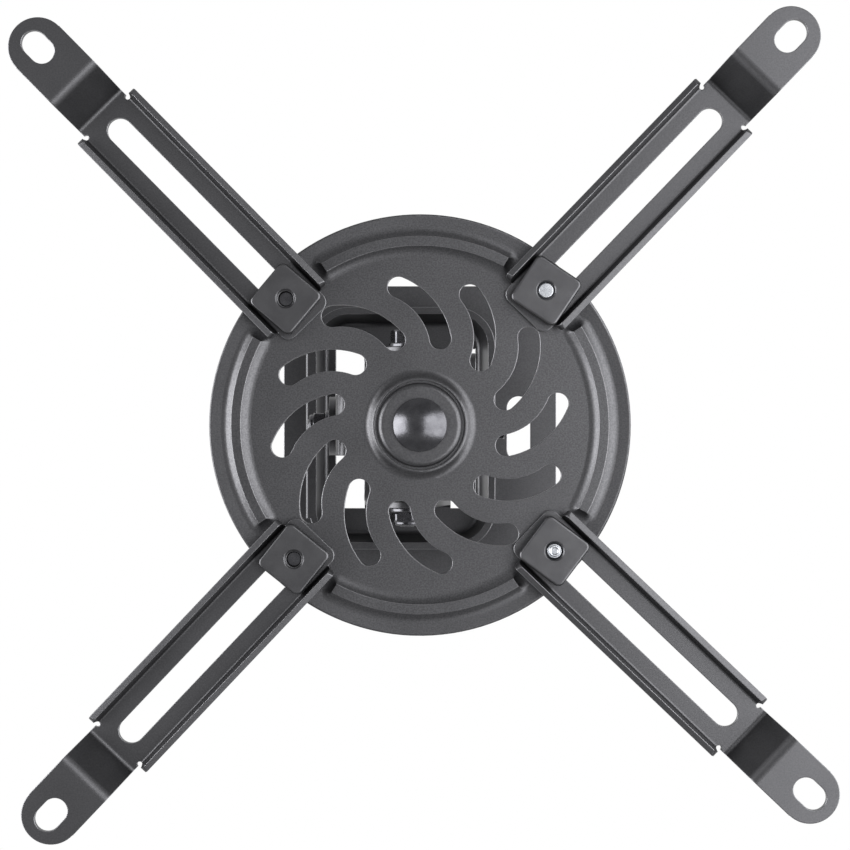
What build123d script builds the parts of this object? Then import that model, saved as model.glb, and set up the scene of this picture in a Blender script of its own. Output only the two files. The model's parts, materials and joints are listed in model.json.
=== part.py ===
from build123d import *
from math import cos, radians, sin, tan
import os

# Projector ceiling mount. The origin is the middle of the ceiling plate's upper face, +Z is up,
# and everything hangs below it. Seen from below, +X is to the right and +Y is towards the viewer's
# feet, so "top" and "bottom" in a name mean -Y and +Y. Millimetres throughout.

# Sheet and fit
plate_sheet = 2.0  # round plate, ceiling plate and brackets
arm_sheet = 1.8
bend_radius = 1.2  # inside radius of a folded bracket
running_clearance = 0.05  # radial play of a bolt in its hole
pick = 0.01  # how near an edge lies to the place where it is looked for

# Ceiling plate
ceiling_width = 95.4
ceiling_length = 101.2
ceiling_shift = 0.7  # the outline's middle from the screw pattern's middle, along Y
ceiling_corner = 6.0
screw_slot_width = 8.2
screw_slot_length = 22.7
screw_slot_spacing = 69.2
corner_hole = 5.5
corner_spacing_x = 80.0
corner_spacing_y = 84.0

# Hanger tray welded under the ceiling plate
tray_left = -33.2
tray_right = 21.0
tray_half_length = 36.8
tray_depth = 14.0
tray_flare = 11.5
tray_corner = 9.0
tray_bend = 1.9
window_half_length = 26.7
window_margin_left = 3.8
window_margin_right = 1.6
lip_width = 1.2
lip_length = 62.0
lip_round = 0.8
tray_ear_width = 30.0

# Roll pivot, a bolt along Y
roll_side = -4.3  # the pivot stands a little to the left of the plate's middle
roll_drop = 34.0
roll_thread = 6.0
roll_head_flats = 10.0
roll_head_height = 4.4
roll_nut_height = 4.4
roll_hexagon_turn = 11.5
roll_flat = 1.5
friction_washer = 0.8
friction_washer_width = 15.0
flat_washer = 1.2
ear_end_radius = 9.1

# Cross yoke, the folded piece between the two pivots
yoke_drop = 57.0
yoke_half_width = 18.0
yoke_ear_width = 18.2
yoke_left = -28.0
yoke_right = 22.6

# Tilt pivot, a bolt along X
tilt_drop = 84.0
tilt_thread = 5.0
tilt_head_flats = 8.0
tilt_head_height = 3.5
tilt_nut_height = 5.0
tilt_hexagon_turn = 30.0

# Round projector plate
plate_drop = 112.0  # ceiling to the plate's lower face
plate_radius = 62.5
plate_turn = -1.8  # how the plate stands turned on its centre bolt
rim_round = 0.5
boss_base_radius = 15.7
boss_top_radius = 13.9
boss_height = 1.6
boss_blend = 2.6
boss_round = 0.8
seat_radius = 13.3
seat_depth = 0.8
press_shift = 0.8  # how much smaller a pressed form is on the sheet's far side
rib_margin = 8.0  # middle of a rib to the plate's rim
rib_land = 2.8
rib_height = 1.3
rib_half_angle = 30.9
rib_blend = 4.2
swirl_count = 12
swirl_width = 6.4
swirl_outer_radius = 41.4
swirl_outer_angle = 7.1
swirl_middle_radius = 36.0
swirl_middle_angle = -3.0
swirl_inner_radius = 26.3
swirl_inner_angle = -15.1

# Centre bolt through the round plate and the lower bracket
centre_thread = 8.0
centre_head_radius = 7.9
centre_head_height = 3.8
cup_radius = 12.5
cup_height = 2.6
cup_shoulder = 1.6
swivel_washer_radius = 11.0
swivel_washer_height = 1.6
bracket_washer_radius = 8.0
centre_nut_flats = 13.0
centre_nut_height = 8.0
thread_end = 2.0  # how far the centre bolt stands out of its nut
pivot_end = 0.5  # the same for the two pivot bolts
dome_edge = 0.8
thread_chamfer = 0.8

# Clamps that hold the arms
clamp_margin = 8.4  # clamp screw to the plate's rim
clamp_thread = 5.0
clamp_nut_width = 15.8
clamp_nut_height = 4.5
clamp_nut_corner = 2.0
clamp_nut_edge = 0.7
clamp_nut_mouth = 5.9
clamp_washer_radius = 6.0
clamp_washer_height = 1.0
clamp_head_radius = 4.75
clamp_head_height = 3.3
clamp_head_round = 1.4
clamp_socket_flats = 3.0
clamp_socket_depth = 2.0
clamp_screw_end = 0.5

# Arms, measured along the arm from its clamp screw
arm_web_half = 8.7
arm_flange_depth = 6.2
arm_flange_angle = 11.0
arm_bend = 1.6  # middle of the sheet at the long folds
arm_inner_end = 9.6
arm_inner_corner = 3.0
flange_inner_end = 5.2
flange_outer_end = 75.6
flange_corner = 2.6
relief_radius = 0.85
arm_slot_width = 7.45
arm_slot_inner = 1.0
arm_slot_outer = 70.1
joggle_start = 79.0
joggle_end = 86.5
joggle_drop = 14.0
joggle_bend = 2.4
tip_reach = 100.9
tip_radius = 8.6
tip_hole_width = 7.3
tip_hole_length = 10.6

# Hexagon fasteners and washers, as parts of the size across flats or of the height
turned_corner = 0.56
corner_chamfer = 0.06
collar_part = 0.25
collar_reach = 0.45
washer_reach = 0.62
end_chamfer = 0.12
washer_chamfer = 0.2
spanner_hole = 0.75

# Each corner of the plate: its direction, how its arm stands swung, how its nut stands turned on
# the arm, and how deep the end of its screw stays inside the nut
corners = {
    "top_left": (225.0, 2.2, -5.4, 2.2),
    "top_right": (315.0, 0.75, -10.2, 0.2),
    "bottom_right": (45.0, 0.4, -6.8, 0.5),
    "bottom_left": (135.0, 0.3, -4.8, 2.2),
}

ceiling_face = Plane.XY
ceiling_under = -plate_sheet
tray_under = ceiling_under - plate_sheet
window_left = tray_left + window_margin_left
window_right = tray_right - window_margin_right
window_middle = (window_left + window_right) / 2
roll_axis = -roll_drop
tilt_axis = -tilt_drop
yoke_top = -yoke_drop
yoke_under = yoke_top - plate_sheet
up_ear_outer = window_half_length - plate_sheet - friction_washer
bracket_left = yoke_left + plate_sheet + friction_washer
bracket_right = yoke_right - plate_sheet - friction_washer
rib_radius = plate_radius - rib_margin
clamp_radius = plate_radius - clamp_margin
plate_under = -plate_drop
plate_top = plate_under + plate_sheet
seat_under = plate_under - boss_height + seat_depth
seat_top = seat_under + plate_sheet
bracket_under = seat_top + swivel_washer_height
bracket_top = bracket_under + plate_sheet
outer_bend = bend_radius + plate_sheet
window_reach = window_half_length + bend_radius
ear_top = tray_under - bend_radius
tray_ear_inner = window_half_length - plate_sheet


def save(piece, name):
    piece.part.label = name
    export_step(piece.part, f"parts/{name}.step")


def folds(piece, along, across, place, height):
    # The straight edges of a fold: parallel to one axis, at a place on another and at a height.
    near = piece.edges().filter_by(along).filter_by_position(across, place - pick, place + pick)
    return near.filter_by_position(Axis.Z, height - pick, height + pick)


def washer(plane, radius, bore, height):
    with BuildPart() as ring:
        with BuildSketch(plane):
            Circle(radius)
            Circle(bore / 2, mode=Mode.SUBTRACT)
        extrude(amount=height)
        rims = ring.edges().filter_by(GeomType.CIRCLE).sort_by(SortBy.RADIUS)[-2:]
        chamfer(rims, washer_chamfer * height)
    return ring


def lock_nut(plane, flats, height, thread, turn=0):
    # Hexagon with turned corners and a round collar that holds the nylon ring.
    collar = collar_part * height
    with BuildPart() as nut:
        with BuildSketch(plane):
            Circle(turned_corner * flats)
        extrude(amount=height - collar)
        chamfer(nut.edges().filter_by(GeomType.CIRCLE), corner_chamfer * flats)
        with BuildSketch(plane):
            RegularPolygon(flats / 2, 6, major_radius=False, rotation=turn)
        extrude(amount=height, mode=Mode.INTERSECT)
        with BuildSketch(plane):
            Circle(collar_reach * flats)
        extrude(amount=height)
        rim = nut.edges().filter_by(GeomType.CIRCLE).sort_by(Axis(plane.origin, plane.z_dir))[-1]
        fillet(rim, collar / 2)
        with BuildSketch(plane):
            Circle(thread / 2 + running_clearance)
        extrude(amount=height, mode=Mode.SUBTRACT)
    return nut


def hex_bolt(plane, flats, head, length, thread, turn=0):
    # The plane lies under the head, and its normal points along the shank.
    with BuildPart() as bolt:
        with BuildSketch(plane):
            Circle(turned_corner * flats)
        extrude(amount=-head)
        outer = bolt.edges().filter_by(GeomType.CIRCLE).sort_by(Axis(plane.origin, plane.z_dir))[0]
        chamfer(outer, corner_chamfer * flats)
        with BuildSketch(plane):
            RegularPolygon(flats / 2, 6, major_radius=False, rotation=turn)
        extrude(amount=-head, mode=Mode.INTERSECT)
        with BuildSketch(plane):
            Circle(thread / 2)
        extrude(amount=length)
        tip = bolt.edges().filter_by(GeomType.CIRCLE).sort_by(Axis(plane.origin, plane.z_dir))[-1]
        chamfer(tip, end_chamfer * thread)
    return bolt


os.makedirs("parts", exist_ok=True)

# Ceiling plate: a flat pressing with a large window, two long screw slots and four corner holes
with BuildPart() as ceiling_plate:
    with BuildSketch(ceiling_face):
        with Locations((0, ceiling_shift)):
            RectangleRounded(ceiling_width, ceiling_length, ceiling_corner)
        with Locations((window_middle, 0)):
            Rectangle(window_right - window_left, 2 * window_reach, mode=Mode.SUBTRACT)
        with GridLocations(screw_slot_spacing, 0, 2, 1):
            SlotOverall(screw_slot_length, screw_slot_width, rotation=90, mode=Mode.SUBTRACT)
        with GridLocations(corner_spacing_x, corner_spacing_y, 2, 2):
            Circle(corner_hole / 2, mode=Mode.SUBTRACT)
    extrude(amount=-plate_sheet)
save(ceiling_plate, "ceiling_plate")

# Hanger tray: floor, flared walls open towards the room, a narrow lip on the left and two folded ears
with BuildPart() as hanger_tray:
    tray_middle = (tray_left + tray_right) / 2
    tray_width = tray_right - tray_left
    with BuildSketch(Plane.XY.offset(ceiling_under)):
        with Locations((tray_middle, 0)):
            RectangleRounded(
                tray_width + 2 * plate_sheet, 2 * (tray_half_length + plate_sheet), tray_corner + plate_sheet
            )
    extrude(amount=-tray_depth, taper=-tray_flare)
    with BuildSketch(Plane.XY.offset(tray_under)):
        with Locations((tray_middle, 0)):
            RectangleRounded(tray_width, 2 * tray_half_length, tray_corner)
    extrude(amount=plate_sheet - tray_depth, taper=-tray_flare, mode=Mode.SUBTRACT)
    floor_edges = hanger_tray.edges().filter_by_position(Axis.Z, tray_under - pick, tray_under + pick)
    fillet(floor_edges, tray_bend)
    # The window goes through the floor; its two short sides are folded down as ears.
    with BuildSketch(Plane.XY.offset(ceiling_under)):
        with Locations((window_middle, 0)):
            Rectangle(window_right - window_left, 2 * window_reach)
    extrude(amount=-plate_sheet, mode=Mode.SUBTRACT)
    for side in (-1, 1):
        # The fold, drawn as a quarter ring that runs on along X.
        with BuildSketch(Plane(origin=(roll_side, 0, 0), x_dir=(0, side, 0), z_dir=(side, 0, 0))):
            with BuildLine():
                CenterArc((window_reach, ear_top), bend_radius, 90, 90)
                Line((window_half_length, ear_top), (tray_ear_inner, ear_top))
                CenterArc((window_reach, ear_top), outer_bend, 90, 90)
                Line((window_reach, ceiling_under), (window_reach, tray_under))
            make_face()
        extrude(amount=tray_ear_width / 2, both=True)
        # The ear below the fold.
        ear_plane = Plane(
            origin=(roll_side, side * window_half_length, 0), x_dir=(side, 0, 0), z_dir=(0, -side, 0)
        )
        with BuildSketch(ear_plane):
            with BuildLine():
                Polyline(
                    (-tray_ear_width / 2, ear_top),
                    (tray_ear_width / 2, ear_top),
                    (ear_end_radius, roll_axis),
                    (-ear_end_radius, roll_axis),
                    close=True,
                )
            make_face()
            with Locations((0, roll_axis)):
                Circle(ear_end_radius)
                Circle(roll_thread / 2 + running_clearance, mode=Mode.SUBTRACT)
        extrude(amount=plate_sheet)
    # Narrow lip turned outwards from the foot of the left wall.
    foot = ceiling_under - tray_depth
    foot_left = tray_left - plate_sheet - tray_depth * tan(radians(tray_flare))
    with BuildSketch(Plane.XY.offset(foot)):
        with Locations((foot_left - lip_width, 0)):
            Rectangle(lip_width + plate_sheet, lip_length, align=(Align.MIN, Align.CENTER))
    extrude(amount=plate_sheet)
    lip_edges = hanger_tray.edges().group_by(Axis.X)[0].filter_by(Axis.Y)
    fillet(lip_edges, lip_round)
save(hanger_tray, "hanger_tray")

# Cross yoke: a plus-shaped blank, two ears folded up for the roll bolt and two down for the tilt bolt
with BuildPart() as cross_yoke:
    with BuildSketch(Plane.XY.offset(yoke_under)):
        Rectangle(2 * yoke_half_width, 2 * up_ear_outer)
        with Locations(((yoke_left + yoke_right) / 2, 0)):
            Rectangle(yoke_right - yoke_left, yoke_ear_width)
        Circle(spanner_hole * centre_nut_flats, mode=Mode.SUBTRACT)
    extrude(amount=plate_sheet)
    for side in (-1, 1):
        up_plane = Plane(origin=(0, side * up_ear_outer, 0), x_dir=(side, 0, 0), z_dir=(0, -side, 0))
        pivot = side * roll_side
        with BuildSketch(up_plane):
            with BuildLine():
                Polyline(
                    (-yoke_half_width, yoke_under),
                    (yoke_half_width, yoke_under),
                    (yoke_half_width, yoke_top + plate_sheet),
                    (pivot + ear_end_radius, roll_axis),
                    (pivot - ear_end_radius, roll_axis),
                    (-yoke_half_width, yoke_top + plate_sheet),
                    close=True,
                )
            make_face()
            with Locations((pivot, roll_axis)):
                Circle(ear_end_radius)
                Circle(roll_thread / 2 + running_clearance, mode=Mode.SUBTRACT)
        extrude(amount=plate_sheet)
    for ear_face, inward in ((yoke_left, 1), (yoke_right, -1)):
        down_plane = Plane(origin=(ear_face, 0, 0), x_dir=(0, inward, 0), z_dir=(inward, 0, 0))
        with BuildSketch(down_plane):
            with BuildLine():
                Polyline(
                    (-yoke_ear_width / 2, yoke_top),
                    (yoke_ear_width / 2, yoke_top),
                    (yoke_ear_width / 2, tilt_axis),
                    (-yoke_ear_width / 2, tilt_axis),
                    close=True,
                )
            make_face()
            with Locations((0, tilt_axis)):
                Circle(yoke_ear_width / 2)
                Circle(tilt_thread / 2 + running_clearance, mode=Mode.SUBTRACT)
        extrude(amount=plate_sheet)
    for side in (-1, 1):
        fillet(folds(cross_yoke, Axis.X, Axis.Y, side * up_ear_outer, yoke_under), outer_bend)
        fillet(folds(cross_yoke, Axis.X, Axis.Y, side * (up_ear_outer - plate_sheet), yoke_top), bend_radius)
    fillet(folds(cross_yoke, Axis.Y, Axis.X, yoke_left, yoke_top), outer_bend)
    fillet(folds(cross_yoke, Axis.Y, Axis.X, yoke_left + plate_sheet, yoke_under), bend_radius)
    fillet(folds(cross_yoke, Axis.Y, Axis.X, yoke_right, yoke_top), outer_bend)
    fillet(folds(cross_yoke, Axis.Y, Axis.X, yoke_right - plate_sheet, yoke_under), bend_radius)
save(cross_yoke, "cross_yoke")

# Lower bracket: one strip folded into a U, with holes for the tilt bolt and the centre bolt
with BuildPart() as lower_bracket:
    bracket_middle = (bracket_left + bracket_right) / 2
    bracket_width = bracket_right - bracket_left
    with BuildSketch(Plane.XZ):
        with BuildLine():
            FilletPolyline(
                (bracket_left, tilt_axis),
                (bracket_left, bracket_under),
                (bracket_right, bracket_under),
                (bracket_right, tilt_axis),
                radius=outer_bend,
            )
            Line((bracket_right, tilt_axis), (bracket_left, tilt_axis))
        make_face()
        with BuildLine():
            FilletPolyline(
                (bracket_left + plate_sheet, tilt_axis),
                (bracket_left + plate_sheet, bracket_top),
                (bracket_right - plate_sheet, bracket_top),
                (bracket_right - plate_sheet, tilt_axis),
                radius=bend_radius,
            )
            Line((bracket_right - plate_sheet, tilt_axis), (bracket_left + plate_sheet, tilt_axis))
        make_face(mode=Mode.SUBTRACT)
    extrude(amount=yoke_ear_width / 2, both=True)
    for ear_face, inward in ((bracket_left, 1), (bracket_right, -1)):
        ear_plane = Plane(origin=(ear_face, 0, tilt_axis), x_dir=(0, inward, 0), z_dir=(inward, 0, 0))
        with BuildSketch(ear_plane):
            Circle(yoke_ear_width / 2)
        extrude(amount=plate_sheet)
        with BuildSketch(ear_plane):
            Circle(tilt_thread / 2 + running_clearance)
        extrude(amount=plate_sheet, mode=Mode.SUBTRACT)
    with BuildSketch(Plane.XY.offset(bracket_under)):
        Circle(centre_thread / 2 + running_clearance)
    extrude(amount=plate_sheet, mode=Mode.SUBTRACT)
save(lower_bracket, "lower_bracket")

# Roll pivot: the head is on the -Y side, the nut on the +Y side, a flat washer under each
roll_head_plane = Plane(
    origin=(roll_side, -window_half_length - roll_flat, roll_axis), x_dir=(1, 0, 0), z_dir=(0, 1, 0)
)
roll_length = 2 * (window_half_length + roll_flat) + roll_nut_height + pivot_end
roll_bolt = hex_bolt(
    roll_head_plane, roll_head_flats, roll_head_height, roll_length, roll_thread, roll_hexagon_turn
)
save(roll_bolt, "roll_bolt")
roll_nut_plane = roll_head_plane.offset(2 * window_half_length + 2 * roll_flat)
with BuildPart() as roll_flat_washer:
    for washer_plane in (roll_head_plane, roll_nut_plane.offset(-roll_flat)):
        with BuildSketch(washer_plane):
            Circle(washer_reach * roll_head_flats)
            Circle(roll_thread / 2 + running_clearance, mode=Mode.SUBTRACT)
        extrude(amount=roll_flat)
    washer_rims = roll_flat_washer.edges().filter_by(GeomType.CIRCLE).sort_by(SortBy.RADIUS)[-4:]
    chamfer(washer_rims, washer_chamfer * roll_flat)
save(roll_flat_washer, "roll_flat_washer")
roll_nut = lock_nut(roll_nut_plane, roll_head_flats, roll_nut_height, roll_thread, roll_hexagon_turn)
save(roll_nut, "roll_nut")
with BuildPart() as roll_friction_washers:
    for side in (-1, 1):
        with BuildSketch(
            Plane(
                origin=(roll_side, side * tray_ear_inner, roll_axis), x_dir=(1, 0, 0), z_dir=(0, -side, 0)
            )
        ):
            Circle(friction_washer_width / 2)
            Circle(roll_thread / 2 + running_clearance, mode=Mode.SUBTRACT)
        extrude(amount=friction_washer)
save(roll_friction_washers, "roll_friction_washers")

# Tilt pivot: the head is on the +X side, the nut on the -X side
tilt_head_plane = Plane(origin=(yoke_right, 0, tilt_axis), x_dir=(0, 1, 0), z_dir=(-1, 0, 0))
tilt_length = yoke_right - yoke_left + flat_washer + tilt_nut_height + pivot_end
tilt_bolt = hex_bolt(
    tilt_head_plane, tilt_head_flats, tilt_head_height, tilt_length, tilt_thread, tilt_hexagon_turn
)
save(tilt_bolt, "tilt_bolt")
tilt_washer_plane = Plane(origin=(yoke_left, 0, tilt_axis), x_dir=(0, 1, 0), z_dir=(-1, 0, 0))
tilt_flat_washer = washer(
    tilt_washer_plane, washer_reach * tilt_head_flats, tilt_thread + 2 * running_clearance, flat_washer
)
save(tilt_flat_washer, "tilt_flat_washer")
tilt_nut = lock_nut(
    tilt_washer_plane.offset(flat_washer), tilt_head_flats, tilt_nut_height, tilt_thread, tilt_hexagon_turn
)
save(tilt_nut, "tilt_nut")
with BuildPart() as tilt_friction_washers:
    for ear_face, outward in ((bracket_left, -1), (bracket_right, 1)):
        with BuildSketch(
            Plane(origin=(ear_face, 0, tilt_axis), x_dir=(0, 1, 0), z_dir=(outward, 0, 0))
        ):
            Circle(friction_washer_width / 2)
            Circle(tilt_thread / 2 + running_clearance, mode=Mode.SUBTRACT)
        extrude(amount=friction_washer)
save(tilt_friction_washers, "tilt_friction_washers")

# Centre bolt group, from the domed head up to the lock nut
cup_under = seat_under - cup_height
with BuildPart() as cup_washer:
    with BuildSketch(Plane.XZ):
        with BuildLine():
            bore_edge = centre_thread / 2 + running_clearance
            Polyline(
                (bore_edge, seat_under),
                (cup_radius, seat_under),
                (cup_radius, cup_under),
                (bore_edge, cup_under),
                close=True,
            )
        make_face()
    revolve(axis=Axis.Z)
    shoulder = cup_washer.edges().filter_by(GeomType.CIRCLE).group_by(Axis.Z)[0].sort_by(SortBy.RADIUS)[-1]
    fillet(shoulder, cup_shoulder)
save(cup_washer, "cup_washer")
swivel_washer = washer(
    Plane.XY.offset(seat_top), swivel_washer_radius, centre_thread + 2 * running_clearance,
    swivel_washer_height
)
save(swivel_washer, "swivel_washer")
bracket_washer = washer(
    Plane.XY.offset(bracket_top), bracket_washer_radius, centre_thread + 2 * running_clearance, flat_washer
)
save(bracket_washer, "bracket_washer")
centre_lock_nut = lock_nut(
    Plane.XY.offset(bracket_top + flat_washer), centre_nut_flats, centre_nut_height, centre_thread
)
save(centre_lock_nut, "centre_lock_nut")
centre_end = bracket_top + flat_washer + centre_nut_height + thread_end
with BuildPart() as centre_bolt:
    with BuildSketch(Plane.XZ):
        with BuildLine():
            head_foot = cup_under - dome_edge
            Polyline(
                (0, cup_under - centre_head_height),
                (0, centre_end),
                (centre_thread / 2 - thread_chamfer, centre_end),
                (centre_thread / 2, centre_end - thread_chamfer),
                (centre_thread / 2, cup_under),
                (centre_head_radius, cup_under),
                (centre_head_radius, head_foot),
            )
            TangentArc(
                (0, cup_under - centre_head_height), (centre_head_radius, head_foot), tangent=(1, 0)
            )
        make_face()
    revolve(axis=Axis.Z)
save(centre_bolt, "centre_bolt")

# Round projector plate
turned = Plane.XY.rotated((0, 0, plate_turn))


def around(radius, angle):
    return (radius * cos(radians(angle)), radius * sin(radians(angle)))


with BuildPart() as projector_plate:
    with BuildSketch(Plane.XZ):
        with BuildLine():
            Polyline(
                (centre_thread / 2 + running_clearance, seat_under),
                (seat_radius, seat_under),
                (seat_radius, plate_under - boss_height),
                (boss_top_radius, plate_under - boss_height),
                (boss_base_radius, plate_under),
                (plate_radius, plate_under),
                (plate_radius, plate_top),
                (boss_base_radius - press_shift, plate_top),
                (boss_top_radius - press_shift, seat_top),
                (centre_thread / 2 + running_clearance, seat_top),
                close=True,
            )
        make_face()
    revolve(axis=Axis.Z)
    rim_edges = projector_plate.edges().filter_by(GeomType.CIRCLE).sort_by(SortBy.RADIUS)[-2:]
    fillet(rim_edges, rim_round)
    rings = projector_plate.edges().filter_by(GeomType.CIRCLE)
    boss_foot = rings.filter_by(lambda edge: abs(edge.radius - boss_base_radius) < pick)
    fillet(boss_foot, boss_blend)
    rings = projector_plate.edges().filter_by(GeomType.CIRCLE)
    boss_rim = rings.filter_by(lambda edge: abs(edge.radius - boss_top_radius) < pick)
    fillet(boss_rim, boss_round)
    # Four stiffening ribs pressed towards the projector, with sides that swing softly up to a sharp land
    for rib_direction in (0, 90, 180, 270):
        for rib_side, mode in ((plate_under, Mode.ADD), (plate_top, Mode.SUBTRACT)):
            shrink = 0 if mode == Mode.ADD else press_shift
            half_band = rib_land / 2 + rib_height - shrink
            inner = rib_radius - half_band
            outer = rib_radius + half_band
            start = rib_direction - rib_half_angle
            stop = rib_direction + rib_half_angle
            with BuildSketch(turned.offset(rib_side)):
                with BuildLine():
                    CenterArc((0, 0), inner, start, stop - start)
                    Line(around(inner, stop), around(outer, stop))
                    CenterArc((0, 0), outer, start, stop - start)
                    Line(around(outer, start), around(inner, start))
                make_face()
            extrude(amount=-rib_height, taper=45, mode=mode)
    foot_edges = projector_plate.edges().filter_by_position(Axis.Z, plate_under - pick, plate_under + pick)
    rib_feet = foot_edges.filter_by(
        lambda edge: abs(Vector(edge.center().X, edge.center().Y).length - rib_radius) < rib_land
    )
    fillet(rib_feet, rib_blend)
    # Twelve swirl slots, drawn on a plane without turn: a private arc would be turned twice.
    with BuildSketch(Plane.XY.offset(plate_under)):
        for k in range(swirl_count):
            step = plate_turn - 90 + 360 / swirl_count * k
            swirl = ThreePointArc(
                around(swirl_outer_radius, step - swirl_outer_angle),
                around(swirl_middle_radius, step - swirl_middle_angle),
                around(swirl_inner_radius, step - swirl_inner_angle),
                mode=Mode.PRIVATE,
            )
            SlotArc(swirl, swirl_width)
    extrude(amount=plate_sheet, mode=Mode.SUBTRACT)
    with BuildSketch(turned.offset(plate_under)):
        for direction, arm_swing, nut_turn, screw_depth in corners.values():
            with Locations(around(clamp_radius, direction)):
                Circle(clamp_thread / 2 + running_clearance)
    extrude(amount=plate_sheet, mode=Mode.SUBTRACT)
save(projector_plate, "projector_plate")


def clamp_pieces(corner, screw_plane, nut_turn, screw_depth):
    # Square nut under the arm's web, washer and screw head on top of the round plate.
    nut_top = -arm_sheet
    nut_under = nut_top - clamp_nut_height
    with BuildPart() as nut:
        with BuildSketch(screw_plane.offset(nut_under).rotated((0, 0, nut_turn))):
            RectangleRounded(clamp_nut_width, clamp_nut_width, clamp_nut_corner)
        extrude(amount=clamp_nut_height)
        fillet(nut.faces().filter_by(Axis.Z).edges(), clamp_nut_edge)
        with BuildSketch(screw_plane.offset(nut_under)):
            Circle(clamp_thread / 2 + running_clearance)
        extrude(amount=clamp_nut_height, mode=Mode.SUBTRACT)
        mouth = nut.edges().filter_by(GeomType.CIRCLE).group_by(Axis.Z)[0].sort_by(SortBy.RADIUS)[-1]
        chamfer(mouth, (clamp_nut_mouth - clamp_thread) / 2 - running_clearance)
    save(nut, f"clamp_nut_{corner}")
    ring = washer(
        screw_plane.offset(plate_sheet), clamp_washer_radius, clamp_thread + 2 * running_clearance,
        clamp_washer_height
    )
    save(ring, f"clamp_washer_{corner}")
    head_under = plate_sheet + clamp_washer_height
    with BuildPart() as screw:
        with BuildSketch(screw_plane.offset(head_under)):
            Circle(clamp_head_radius)
        extrude(amount=clamp_head_height)
        fillet(screw.edges().group_by(Axis.Z)[-1], clamp_head_round)
        with BuildSketch(screw_plane.offset(head_under)):
            Circle(clamp_thread / 2)
        extrude(amount=nut_under + screw_depth - head_under)
        chamfer(screw.edges().group_by(Axis.Z)[0], clamp_screw_end)
        with BuildSketch(screw_plane.offset(head_under + clamp_head_height)):
            RegularPolygon(clamp_socket_flats / 2, 6, major_radius=False)
        extrude(amount=-clamp_socket_depth, mode=Mode.SUBTRACT)
    save(screw, f"clamp_screw_{corner}")


def arm_piece(corner, arm_plane):
    # The arm's plane: origin on the plate's lower face at the clamp screw, x along the arm.
    across = Plane(
        origin=arm_plane.from_local_coords((-flange_inner_end, 0, 0)), x_dir=arm_plane.y_dir,
        z_dir=arm_plane.x_dir
    )
    along = Plane(origin=arm_plane.origin, x_dir=arm_plane.x_dir, z_dir=-arm_plane.y_dir)
    fold = arm_web_half + arm_sheet / 2
    tip = fold + arm_flange_depth * tan(radians(arm_flange_angle))
    overall = 2 * (tip + arm_sheet)
    middle = -arm_sheet / 2
    with BuildPart() as arm:
        with BuildSketch(across):
            with BuildLine():
                FilletPolyline(
                    (-tip, -arm_flange_depth), (-fold, middle), (fold, middle), (tip, -arm_flange_depth),
                    radius=arm_bend,
                )
            trace(line_width=arm_sheet)
        extrude(amount=flange_inner_end + flange_outer_end)
        # Lower corners of the flanges are rounded, seen from the side.
        with BuildSketch(along):
            with BuildLine():
                FilletPolyline(
                    (-flange_inner_end, 0),
                    (-flange_inner_end, -arm_flange_depth - arm_sheet / 4),
                    (flange_outer_end, -arm_flange_depth - arm_sheet / 4),
                    (flange_outer_end, 0),
                    radius=flange_corner,
                )
                Line((flange_outer_end, 0), (-flange_inner_end, 0))
            make_face()
        extrude(amount=overall / 2, both=True, mode=Mode.INTERSECT)
        with BuildSketch(along):
            with BuildLine():
                FilletPolyline(
                    (-arm_inner_end, middle),
                    (joggle_start, middle),
                    (joggle_end, middle - joggle_drop),
                    (tip_reach + tip_radius, middle - joggle_drop),
                    radius=joggle_bend,
                )
            trace(line_width=arm_sheet)
        extrude(amount=arm_web_half, both=True)
        with BuildSketch(arm_plane):
            with Locations(((flange_outer_end - flange_inner_end) / 2, 0)):
                Rectangle(flange_outer_end + flange_inner_end, overall)
            with Locations((-arm_inner_end, 0)):
                RectangleRounded(
                    arm_inner_end + tip_reach, 2 * arm_web_half, arm_inner_corner,
                    align=(Align.MIN, Align.CENTER)
                )
            with Locations((tip_reach - 2 * arm_inner_corner, 0)):
                Rectangle(2 * arm_inner_corner, 2 * arm_web_half, align=(Align.MIN, Align.CENTER))
            with Locations((tip_reach, 0)):
                Circle(tip_radius)
            with Locations((flange_outer_end, arm_web_half), (flange_outer_end, -arm_web_half)):
                Circle(relief_radius, mode=Mode.SUBTRACT)
            with Locations(((arm_slot_inner + arm_slot_outer) / 2 - arm_slot_inner, 0)):
                SlotCenterToCenter(arm_slot_outer + arm_slot_inner, arm_slot_width, mode=Mode.SUBTRACT)
            with Locations((tip_reach, 0)):
                SlotOverall(tip_hole_length, tip_hole_width, mode=Mode.SUBTRACT)
        extrude(amount=-joggle_drop - 2 * arm_sheet - arm_flange_depth, mode=Mode.INTERSECT)
    save(arm, f"arm_{corner}")


for corner, (direction, arm_swing, nut_turn, screw_depth) in corners.items():
    spot = turned.offset(plate_under).from_local_coords((*around(clamp_radius, direction), 0))
    heading = plate_turn + direction + arm_swing
    screw_plane = Plane(origin=spot, x_dir=(*around(1, heading), 0), z_dir=(0, 0, 1))
    arm_piece(corner, screw_plane)
    clamp_pieces(corner, screw_plane, nut_turn, screw_depth)
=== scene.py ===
import json
import math

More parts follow.
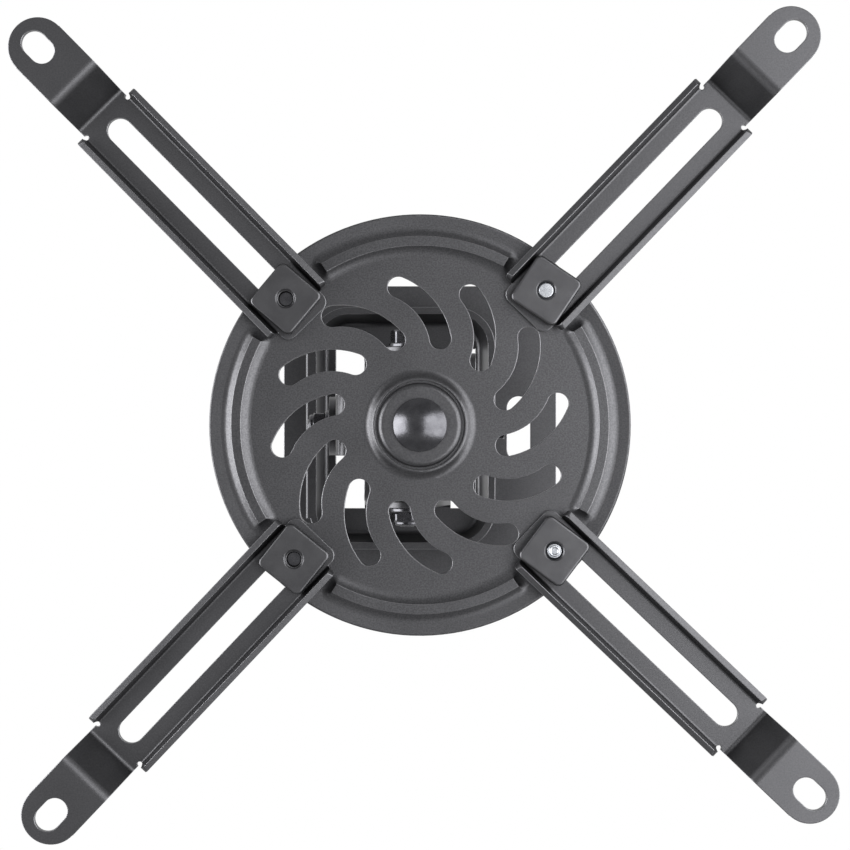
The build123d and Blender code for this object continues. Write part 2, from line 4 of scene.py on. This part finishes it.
import bmesh
import bpy
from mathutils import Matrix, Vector


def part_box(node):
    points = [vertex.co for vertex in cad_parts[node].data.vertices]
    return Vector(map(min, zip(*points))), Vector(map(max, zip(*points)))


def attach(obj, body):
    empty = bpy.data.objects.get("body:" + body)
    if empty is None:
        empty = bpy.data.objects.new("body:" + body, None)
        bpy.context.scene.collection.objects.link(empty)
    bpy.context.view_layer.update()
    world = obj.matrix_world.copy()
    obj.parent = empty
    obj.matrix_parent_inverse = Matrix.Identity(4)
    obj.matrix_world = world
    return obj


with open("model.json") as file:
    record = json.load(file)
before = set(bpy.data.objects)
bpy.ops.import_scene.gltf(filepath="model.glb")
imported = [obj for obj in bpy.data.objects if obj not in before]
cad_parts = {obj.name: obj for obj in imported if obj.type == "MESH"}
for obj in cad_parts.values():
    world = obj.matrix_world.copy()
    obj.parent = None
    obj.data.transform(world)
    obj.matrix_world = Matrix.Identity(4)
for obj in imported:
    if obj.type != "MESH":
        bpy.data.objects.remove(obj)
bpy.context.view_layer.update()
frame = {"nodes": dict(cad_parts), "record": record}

# Projector ceiling mount, seen from straight below: +X is right, +Y is down in the picture, +Z is the ceiling.
print("frame loaded:", len(frame["nodes"]), "CAD pieces")

mm = 0.001
nodes = frame["nodes"]
cornerNames = ["top_left", "top_right", "bottom_right", "bottom_left"]


# Colour and node helpers

def toLinear(hexColour):
    channels = [int(hexColour[i:i + 2], 16) / 255 for i in (1, 3, 5)]
    linear = [c / 12.92 if c <= 0.04045 else ((c + 0.055) / 1.055) ** 2.4 for c in channels]
    return (*linear, 1.0)


def patternScale(sizeMm):
    return 1.0 / (sizeMm * mm)  # texture cells per metre for a grain of that many millimetres


def addNode(tree, kind, settings=None, links=None):
    # A setting or link is named by its socket, by a property of the node, or by the socket's number.
    node = tree.nodes.new(kind)
    for name, value in (settings or {}).items():
        if isinstance(name, int) or name in node.inputs:
            node.inputs[name].default_value = value
        else:
            setattr(node, name, value)
    for name, source in (links or {}).items():
        tree.links.new(source, node.inputs[name])
    return node


def newMaterial(name):
    material = bpy.data.materials.new(name)
    material.use_nodes = True
    tree = material.node_tree
    tree.nodes.clear()
    output = addNode(tree, "ShaderNodeOutputMaterial")
    return material, tree, output


def addNoise(tree, place, sizeMm, detail):
    noise = addNode(
        tree, "ShaderNodeTexNoise", {"Scale": patternScale(sizeMm), "Detail": detail}, {"Vector": place}
    )
    return noise.outputs["Fac"]


def addRamp(tree, source, band, lowColour, highColour):
    # From one colour to the other as the source crosses the band.
    ramp = addNode(tree, "ShaderNodeValToRGB", {}, {"Fac": source})
    for stop, position, colour in zip(ramp.color_ramp.elements, band, (lowColour, highColour)):
        stop.position = position
        stop.color = toLinear(colour)
    return ramp.outputs["Color"]


noiseBand = (0.3, 0.7)  # nearly all values of a noise lie between these


def addRange(tree, source, low, high):
    # Spreads the middle of a noise over the range low to high.
    span = addNode(
        tree, "ShaderNodeMapRange",
        {"From Min": noiseBand[0], "From Max": noiseBand[1], "To Min": low, "To Max": high},
        {"Value": source},
    )
    return span.outputs["Result"]


def addBump(tree, height, normal, strength, depthMm):
    bump = addNode(
        tree, "ShaderNodeBump", {"Strength": strength, "Distance": depthMm * mm},
        {"Height": height, "Normal": normal},
    )
    return bump.outputs["Normal"]


# Materials

powderCoat = {
    "colour": "#404042",
    "grainColour": "#474749",
    "wornAndHighlightColour": "#7c7c7f",  # thinner, worn coat over the sheared edges, lightened further as a painted highlight
    "grainMm": 0.45,  # speckle of the powder, really about 0.1 mm, drawn coarser so that it shows
    "grainBand": (0.36, 0.64),  # noise values over which the colour changes
    "grainDepthMm": 0.03,
    "grainStrength": 0.1,
    "peelMm": 1.3,  # waviness of the baked coat
    "peelDepthMm": 0.04,
    "peelStrength": 0.2,
    "patchMm": 22.0,  # slow change of the gloss from one spray pass to the next
    "metallic": 0.92,
    "roughness": 0.37,
    "smoother": 0.03,
    "rougher": 0.04,
    "edgeMm": 0.4,  # the coat rounds every sheared edge
    "wornAndHighlightTurn": (0.995, 0.85),  # cosine of an edge's turn where the wear and painted highlight begin and where they are full
    "wornAndHighlightShare": 0.8,  # how far a sheared edge takes the lighter colour of wear and painted highlight
}
# The coat lies thicker on the large round plate, so its grain stands out more there.
plateCoat = {**powderCoat, "colour": "#3d3d3f", "grainColour": "#4a4a4c", "grainStrength": 0.16}
rimDraw = {"start": 57.5 * mm, "slope": 0.08}  # the round plate's rim leans in from this radius on
bevelSamples = 6


def addEdge(tree, radiusMm):
    edge = addNode(tree, "ShaderNodeBevel", {"samples": bevelSamples, "Radius": radiusMm * mm})
    return edge.outputs["Normal"]


def makePowderCoat(name, look, rim=None):
    # Black metallic powder coat on pressed sheet steel: sprayed dry and baked, so it is a satin film, dark but
    # mirror-like from its metal flake, with a fine grain. It draws thin over the sheared edges, and the
    # lighter colour mixed in there is partly that wear and partly a painted highlight.
    material, tree, output = newMaterial(name)
    place = addNode(tree, "ShaderNodeTexCoord").outputs["Object"]
    grain = addNoise(tree, place, look["grainMm"], 3.0)
    peel = addNoise(tree, place, look["peelMm"], 1.5)
    patches = addNoise(tree, place, look["patchMm"], 3.0)
    colour = addRamp(tree, grain, look["grainBand"], look["colour"], look["grainColour"])
    edge = addEdge(tree, look["edgeMm"])
    flat = addNode(tree, "ShaderNodeNewGeometry").outputs["Normal"]
    turn = addNode(tree, "ShaderNodeVectorMath", {"operation": "DOT_PRODUCT"}, {0: edge, 1: flat})
    begins, full = look["wornAndHighlightTurn"]
    # Mixes a lighter colour into the sheared edges: partly the thin, worn coat, partly a painted highlight
    # along the edge.
    wornAndHighlight = addNode(
        tree, "ShaderNodeMapRange",
        {"From Min": begins, "From Max": full, "To Min": 0.0, "To Max": look["wornAndHighlightShare"]},
        {"Value": turn.outputs["Value"]},
    )
    mix = addNode(
        tree, "ShaderNodeMix", {"data_type": "RGBA", 7: toLinear(look["wornAndHighlightColour"])},
        {0: wornAndHighlight.outputs["Result"], 6: colour},
    )
    if rim:
        # Pressing the ribs draws the round plate's rim over by a few degrees. It is shown as a slope that
        # starts at a radius, too shallow to change the plate's outline.
        flatPlace = addNode(
            tree, "ShaderNodeVectorMath", {"operation": "MULTIPLY", 1: (1.0, 1.0, 0.0)}, {0: place}
        )
        radius = addNode(
            tree, "ShaderNodeVectorMath", {"operation": "LENGTH"}, {0: flatPlace.outputs["Vector"]}
        )
        beyond = addNode(
            tree, "ShaderNodeMath", {"operation": "SUBTRACT", 1: rim["start"]}, {0: radius.outputs["Value"]}
        )
        kept = addNode(tree, "ShaderNodeMath", {"operation": "MAXIMUM", 1: 0.0}, {0: beyond.outputs[0]})
        drop = addNode(
            tree, "ShaderNodeMath", {"operation": "MULTIPLY", 1: rim["slope"] / mm}, {0: kept.outputs[0]}
        )
        edge = addBump(tree, drop.outputs[0], edge, 1.0, 1.0)
    waves = addBump(tree, peel, edge, look["peelStrength"], look["peelDepthMm"])
    powder = addBump(tree, grain, waves, look["grainStrength"], look["grainDepthMm"])
    shader = addNode(
        tree, "ShaderNodeBsdfPrincipled", {"Metallic": look["metallic"]},
        {
            "Base Color": mix.outputs[2],
            "Roughness": addRange(
                tree, patches, look["roughness"] - look["smoother"], look["roughness"] + look["rougher"]
            ),
            "Normal": powder,
        },
    )
    tree.links.new(shader.outputs["BSDF"], output.inputs["Surface"])
    return material


plating = {
    # Black zinc nickel plate on pressed square nuts: dull metal under a dark chromate film
    "nutPlate": {
        "colour": "#4b4b4d", "cloudColour": "#444446", "metallic": 0.95, "roughness": 0.33,
        "cloudMm": 5.0, "grainMm": 0.35, "pitMm": 0.9, "pitDepthMm": 0.03, "edgeMm": 0.25,
    },
    # Black nickel on turned and forged bolts: a dark mirror, slightly uneven from forging
    "blackNickel": {
        "colour": "#4c4c4f", "cloudColour": "#404043", "metallic": 1.0, "roughness": 0.25,
        "cloudMm": 3.0, "grainMm": 0.25, "pitMm": 1.3, "pitDepthMm": 0.12, "edgeMm": 0.25,
    },
    # Bright zinc plate with clear passivation on standard screws and washers: light, a little cloudy
    "brightZinc": {
        "colour": "#a6a8ac", "cloudColour": "#8d9095", "metallic": 1.0, "roughness": 0.3,
        "cloudMm": 4.0, "grainMm": 0.25, "pitMm": 0.8, "pitDepthMm": 0.02, "edgeMm": 0.2,
    },
}
platingDetail = {
    "cloudBand": (0.35, 0.65), "smoother": 0.05, "rougher": 0.06,
    "pitStrength": 0.25, "grainStrength": 0.15, "grainDepthMm": 0.01,
}


def makePlated(name, look):
    material, tree, output = newMaterial(name)
    place = addNode(tree, "ShaderNodeTexCoord").outputs["Object"]
    cloud = addNoise(tree, place, look["cloudMm"], 3.0)
    grain = addNoise(tree, place, look["grainMm"], 2.0)
    pits = addNoise(tree, place, look["pitMm"], 2.5)
    edge = addEdge(tree, look["edgeMm"])
    detail = platingDetail
    pitted = addBump(tree, pits, edge, detail["pitStrength"], look["pitDepthMm"])
    marked = addBump(tree, grain, pitted, detail["grainStrength"], detail["grainDepthMm"])
    shader = addNode(
        tree, "ShaderNodeBsdfPrincipled", {"Metallic": look["metallic"]},
        {
            "Base Color": addRamp(tree, cloud, detail["cloudBand"], look["cloudColour"], look["colour"]),
            "Roughness": addRange(
                tree, grain, look["roughness"] - detail["smoother"], look["roughness"] + detail["rougher"]
            ),
            "Normal": marked,
        },
    )
    tree.links.new(shader.outputs["BSDF"], output.inputs["Surface"])
    return material


nylon = {
    "colour": "#161617", "skinColour": "#232325", "roughness": 0.5, "ior": 1.53,
    "skinMm": 0.3, "skinBand": (0.3, 0.7), "skinDepthMm": 0.02, "skinStrength": 0.2,
}


def makeNylon(name, look):
    # Moulded black nylon washers and lock rings: dull, with a very fine moulded skin.
    material, tree, output = newMaterial(name)
    place = addNode(tree, "ShaderNodeTexCoord").outputs["Object"]
    skin = addNoise(tree, place, look["skinMm"], 2.0)
    bump = addNode(
        tree, "ShaderNodeBump", {"Strength": look["skinStrength"], "Distance": look["skinDepthMm"] * mm},
        {"Height": skin},
    )
    shader = addNode(
        tree, "ShaderNodeBsdfPrincipled", {"Roughness": look["roughness"], "IOR": look["ior"]},
        {
            "Base Color": addRamp(tree, skin, look["skinBand"], look["colour"], look["skinColour"]),
            "Normal": bump.outputs["Normal"],
        },
    )
    tree.links.new(shader.outputs["BSDF"], output.inputs["Surface"])
    return material


materials = {name: makePlated(name, look) for name, look in plating.items()}
materials["powderCoat"] = makePowderCoat("powderCoat", powderCoat)
materials["plateCoat"] = makePowderCoat("plateCoat", plateCoat, rimDraw)
materials["blackNylon"] = makeNylon("blackNylon", nylon)
slotFinish = {
    "powder_coat": "powderCoat", "black_zinc": "blackNickel", "zinc": "brightZinc", "nylon": "blackNylon",
}
# Pieces whose finish differs from the rest of their slot. The two left clamp screws end deep in their nuts,
# and the darker black nickel they get paints the shade that falls there; the other two end near the nuts'
# faces and shine.
nodeFinish = {f"clamp_nut_{corner}": "nutPlate" for corner in cornerNames}
nodeFinish.update({f"clamp_screw_{corner}": "blackNickel" for corner in ("top_left", "bottom_left")})
nodeFinish.update({node: "plateCoat" for node in ("projector_plate", "cup_washer")})

for part in frame["record"]["subparts"]:
    mesh = nodes[part["node"]].data
    finish = nodeFinish.get(part["node"], slotFinish[part["material_slot"]])
    mesh.materials.clear()
    mesh.materials.append(materials[finish])
print("materials:", ", ".join(sorted(materials)))


# Camera, straight below and looking up, as the photograph was taken

view = {
    "distance": 600 * mm,  # from the lens to the round plate's lower face
    "frameWidth": 251.8 * mm,  # how much of the round plate's plane the picture's width shows
    "standOff": 6.8 * mm,  # the lens is a little towards the lower edge
    "photoPixels": 850,
    "axisPixelX": 420.0,  # where the lens's own axis falls in the photograph
    "axisPixelY": 448.0,
    "sensorMm": 36.0,
    "clipNear": 10 * mm,
    "clipFar": 60.0,
}


def makeCamera(look):
    data = bpy.data.cameras.new("camera")
    data.sensor_width = look["sensorMm"]
    data.lens = look["sensorMm"] * look["distance"] / look["frameWidth"]
    data.clip_start = look["clipNear"]
    data.clip_end = look["clipFar"]
    middle = look["photoPixels"] / 2
    data.shift_x = (middle - look["axisPixelX"]) / look["photoPixels"]
    data.shift_y = (look["axisPixelY"] - middle) / look["photoPixels"]
    camera = bpy.data.objects.new("camera", data)
    bpy.context.scene.collection.objects.link(camera)
    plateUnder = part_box("arm_top_left")[1].z  # the arm's web lies on the plate's lower face
    camera.location = (0.0, look["standOff"], plateUnder - look["distance"])
    camera.rotation_euler = (math.pi, 0.0, 0.0)
    bpy.context.scene.camera = camera


makeCamera(view)


# Fine pieces that the solids leave out: threads, lock rings and the mark in a screw's end

weldGap = 0.001 * mm  # points nearer than this are one


def revolvePiece(name, profile, base, direction, material, segments=48):
    # A closed profile of (radius, height) pairs in metres, turned about the line through base along direction.
    across = direction.orthogonal().normalized()
    around = direction.cross(across)
    work = bmesh.new()
    rings = []
    for step in range(segments):
        angle = 2 * math.pi * step / segments
        out = across * math.cos(angle) + around * math.sin(angle)
        rings.append([work.verts.new(base + out * radius + direction * height) for radius, height in profile])
    for step in range(segments):
        here, there = rings[step], rings[(step + 1) % segments]
        for k in range(len(profile)):
            n = (k + 1) % len(profile)
            work.faces.new((here[k], there[k], there[n], here[n]))
    return finishPiece(name, work, material)


threadShape = {
    "foot": 0.42,  # half the ridge's width at its foot, in pitches
    "crest": 0.15,  # width of its crest, as a share of its foot
    "sink": 0.1,  # how far its foot lies behind the surface, as a share of its depth
    "runOut": 0.25,  # turns over which it fades at each end
}


def threadPiece(name, radius, depth, pitch, length, base, direction, material, segments=40):
    # One ridge wound round the line through base along direction. A positive depth stands outwards, a
    # negative one inwards, and the ridge runs out to nothing at both ends.
    across = direction.orthogonal().normalized()
    around = direction.cross(across)
    steps = max(8, round(segments * length / pitch))
    work = bmesh.new()
    rows = []
    foot = radius - threadShape["sink"] * depth
    for step in range(steps + 1):
        angle = 2 * math.pi * step / segments
        rise = length * step / steps
        fade = min(1.0, min(step, steps - step) / (threadShape["runOut"] * segments))
        out = across * math.cos(angle) + around * math.sin(angle)
        half = threadShape["foot"] * pitch * fade
        top = threadShape["crest"] * half
        crest = radius + depth * fade
        shape = ((foot, -half), (crest, -top), (crest, top), (foot, half))
        rows.append([work.verts.new(base + out * r + direction * (rise + h)) for r, h in shape])
    for here, there in zip(rows, rows[1:]):
        for k in range(4):
            n = (k + 1) % 4
            work.faces.new((here[k], there[k], there[n], here[n]))
    bmesh.ops.remove_doubles(work, verts=work.verts, dist=weldGap)
    return finishPiece(name, work, material)


def finishPiece(name, work, material):
    bmesh.ops.dissolve_degenerate(work, edges=work.edges, dist=weldGap / 2)
    bmesh.ops.recalc_face_normals(work, faces=work.faces)
    mesh = bpy.data.meshes.new(name)
    work.to_mesh(mesh)
    work.free()
    mesh.shade_smooth()
    mesh.materials.append(materials[material])
    piece = bpy.data.objects.new(name, mesh)
    bpy.context.scene.collection.objects.link(piece)
    return piece


def middleOf(node):
    low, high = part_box(node)
    return (low + high) / 2


up = Vector((0, 0, 1))

# Thread in the mouth of a clamp nut, where its screw ends deep enough to show it
clampThread = {
    "radius": 2.58 * mm, "depth": -0.4 * mm, "pitch": 0.8 * mm,
    "start": 0.6,  # pitches from the nut's lower face to the first turn
    "endGap": 0.3 * mm, "shortest": 1.2 * mm,
}
for corner in cornerNames:
    low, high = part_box(f"clamp_nut_{corner}")
    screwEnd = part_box(f"clamp_screw_{corner}")[0].z
    place = middleOf(f"clamp_screw_{corner}")
    free = screwEnd - low.z  # empty bore between the screw's end and the nut's lower face
    if free > clampThread["shortest"]:
        base = Vector((place.x, place.y, low.z + clampThread["start"] * clampThread["pitch"]))
        piece = threadPiece(
            f"nut_thread_{corner}", clampThread["radius"], clampThread["depth"], clampThread["pitch"],
            free - clampThread["endGap"], base, up, "nutPlate",
        )
        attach(piece, f"clamp_{corner}")

# The end of one clamp screw shows a turned rim with a small hollow
screwTip = {
    "corner": "bottom_right", "outer": 1.75 * mm, "crest": 1.35 * mm, "inner": 0.8 * mm, "height": 0.28 * mm,
    "chamfer": 0.1 * mm, "sink": 0.1 * mm,
    "outerRise": 0.7, "innerRise": 0.4,  # heights of the rim's two sides, as shares of its crest's
}


def makeScrewTip(look):
    node = f"clamp_screw_{look['corner']}"
    place = middleOf(node)
    base = Vector((place.x, place.y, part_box(node)[0].z))
    profile = [
        (look["outer"], -look["sink"]),
        (look["outer"] - look["chamfer"], look["outerRise"] * look["height"]),
        (look["crest"], look["height"]),
        (look["inner"] + look["chamfer"], look["innerRise"] * look["height"]),
        (look["inner"], -look["sink"]),
    ]
    piece = revolvePiece("screw_end_rim", profile, base, -up, "brightZinc")
    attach(piece, f"clamp_{look['corner']}")


makeScrewTip(screwTip)

# Nylon rings in the mouths of the lock nuts, on the side where the bolt comes out, with radii in mm
lockRings = {
    "centre_nut_ring": {
        "nut": "centre_lock_nut", "body": "plate", "along": (0, 0, 1), "thread": 4.0, "outer": 5.2,
    },
    "roll_nut_ring": {
        "nut": "roll_nut", "body": "ceiling", "along": (0, 1, 0), "thread": 3.0, "outer": 4.0,
    },
    "tilt_nut_ring": {
        "nut": "tilt_nut", "body": "yoke", "along": (-1, 0, 0), "thread": 2.5, "outer": 3.25,
    },
}
ringShape = {
    "play": 0.05 * mm, "sink": 0.3 * mm,
    "outerRise": 0.02 * mm, "crown": 0.16 * mm, "innerRise": 0.08 * mm,
}


def makeLockRing(name, look):
    low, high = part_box(look["nut"])
    along = Vector(look["along"])
    reach = abs(along.dot(high - low)) / 2
    base = (low + high) / 2 + along * reach
    inner = look["thread"] * mm + ringShape["play"]
    outer = look["outer"] * mm
    middle = (inner + outer) / 2
    profile = [
        (outer, -ringShape["sink"]), (outer, ringShape["outerRise"]), (middle, ringShape["crown"]),
        (inner, ringShape["innerRise"]), (inner, -ringShape["sink"]),
    ]
    piece = revolvePiece(name, profile, base, along, "blackNylon")
    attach(piece, look["body"])


for ringName, ringLook in lockRings.items():
    makeLockRing(ringName, ringLook)

# Thread on the centre bolt, where it stands out above its lock nut
centreThread = {
    "radius": 4.0 * mm, "depth": 0.16 * mm, "pitch": 1.25 * mm,
    "start": 0.35,  # pitches from the nut's upper face to the first turn
    "endGap": 0.95 * mm,
}


def makeCentreThread(look):
    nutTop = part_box("centre_lock_nut")[1].z
    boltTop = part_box("centre_bolt")[1].z
    place = middleOf("centre_bolt")
    base = Vector((place.x, place.y, nutTop + look["start"] * look["pitch"]))
    length = boltTop - nutTop - look["endGap"]
    piece = threadPiece(
        "centre_bolt_thread", look["radius"], look["depth"], look["pitch"], length, base, up, "blackNickel"
    )
    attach(piece, "plate")


makeCentreThread(centreThread)
print("threads, lock rings and screw end ready")


# Floor and light

studio = {
    "floorDepth": -2.4,  # a room's height below the ceiling plate
    "floorSize": 40.0,
    "floorColour": "#e9e9e9",
    "floorRoughness": 0.8,
    "floorGlow": 0.24,  # lifts the floor to a paler tone where it is seen or mirrored
    "worldStrength": 0.42,
}
boxAim = (0, 0, -0.117)  # the middle of the round plate
softBoxes = {
    # name: middle, width and height in metres, and watts
    "rightBox": {"place": (0.766, 0.0, -0.76), "size": (1.15, 1.5), "power": 31.0},
    "leftBox": {"place": (-0.94, 0.0, -0.46), "size": (0.79, 1.1), "power": 26.0},
}


def addSeenRays(tree):
    # 1 for rays from the camera and for mirrored and see-through ones, 0 for the light that falls on things
    rays = addNode(tree, "ShaderNodeLightPath").outputs
    direct = addNode(
        tree, "ShaderNodeMath", {"operation": "MAXIMUM"},
        {0: rays["Is Camera Ray"], 1: rays["Is Transmission Ray"]},
    )
    seen = addNode(
        tree, "ShaderNodeMath", {"operation": "MAXIMUM"}, {0: direct.outputs[0], 1: rays["Is Glossy Ray"]}
    )
    return seen.outputs[0]


def makeFloor(look):
    bpy.ops.mesh.primitive_plane_add(size=look["floorSize"], location=(0, 0, look["floorDepth"]))
    floor = bpy.context.object
    floor.name = "floor"
    material, tree, output = newMaterial("paleFloor")
    plain = addNode(
        tree, "ShaderNodeBsdfPrincipled",
        {"Base Color": toLinear(look["floorColour"]), "Roughness": look["floorRoughness"]},
    )
    glow = addNode(tree, "ShaderNodeEmission", {"Color": (1, 1, 1, 1), "Strength": look["floorGlow"]})
    lifted = addNode(tree, "ShaderNodeAddShader", {}, {0: plain.outputs[0], 1: glow.outputs[0]})
    mix = addNode(
        tree, "ShaderNodeMixShader", {}, {0: addSeenRays(tree), 1: plain.outputs[0], 2: lifted.outputs[0]}
    )
    tree.links.new(mix.outputs[0], output.inputs["Surface"])
    floor.data.materials.append(material)


def makeWorld(look):
    # White behind the mount where it is seen or mirrored, softer light for the rest.
    world = bpy.data.worlds.new("studio")
    bpy.context.scene.world = world
    world.use_nodes = True
    tree = world.node_tree
    tree.nodes.clear()
    soft = addNode(tree, "ShaderNodeBackground", {"Color": (1, 1, 1, 1), "Strength": look["worldStrength"]})
    white = addNode(tree, "ShaderNodeBackground", {"Color": (1, 1, 1, 1), "Strength": 1.0})
    mix = addNode(
        tree, "ShaderNodeMixShader", {}, {0: addSeenRays(tree), 1: soft.outputs[0], 2: white.outputs[0]}
    )
    addNode(tree, "ShaderNodeOutputWorld", {}, {"Surface": mix.outputs[0]})


def makeSoftBox(name, look):
    data = bpy.data.lights.new(name, "AREA")
    data.shape = "RECTANGLE"
    data.size, data.size_y = look["size"]
    data.energy = look["power"]
    lamp = bpy.data.objects.new(name, data)
    bpy.context.scene.collection.objects.link(lamp)
    lamp.location = look["place"]
    aim = Vector(boxAim) - lamp.location
    lamp.rotation_euler = aim.to_track_quat("-Z", "Y").to_euler()
    lamp.visible_camera = False


makeFloor(studio)
makeWorld(studio)
for boxName, boxLook in softBoxes.items():
    makeSoftBox(boxName, boxLook)
bpy.context.scene.view_settings.view_transform = "Standard"
print("camera, floor and lights ready")
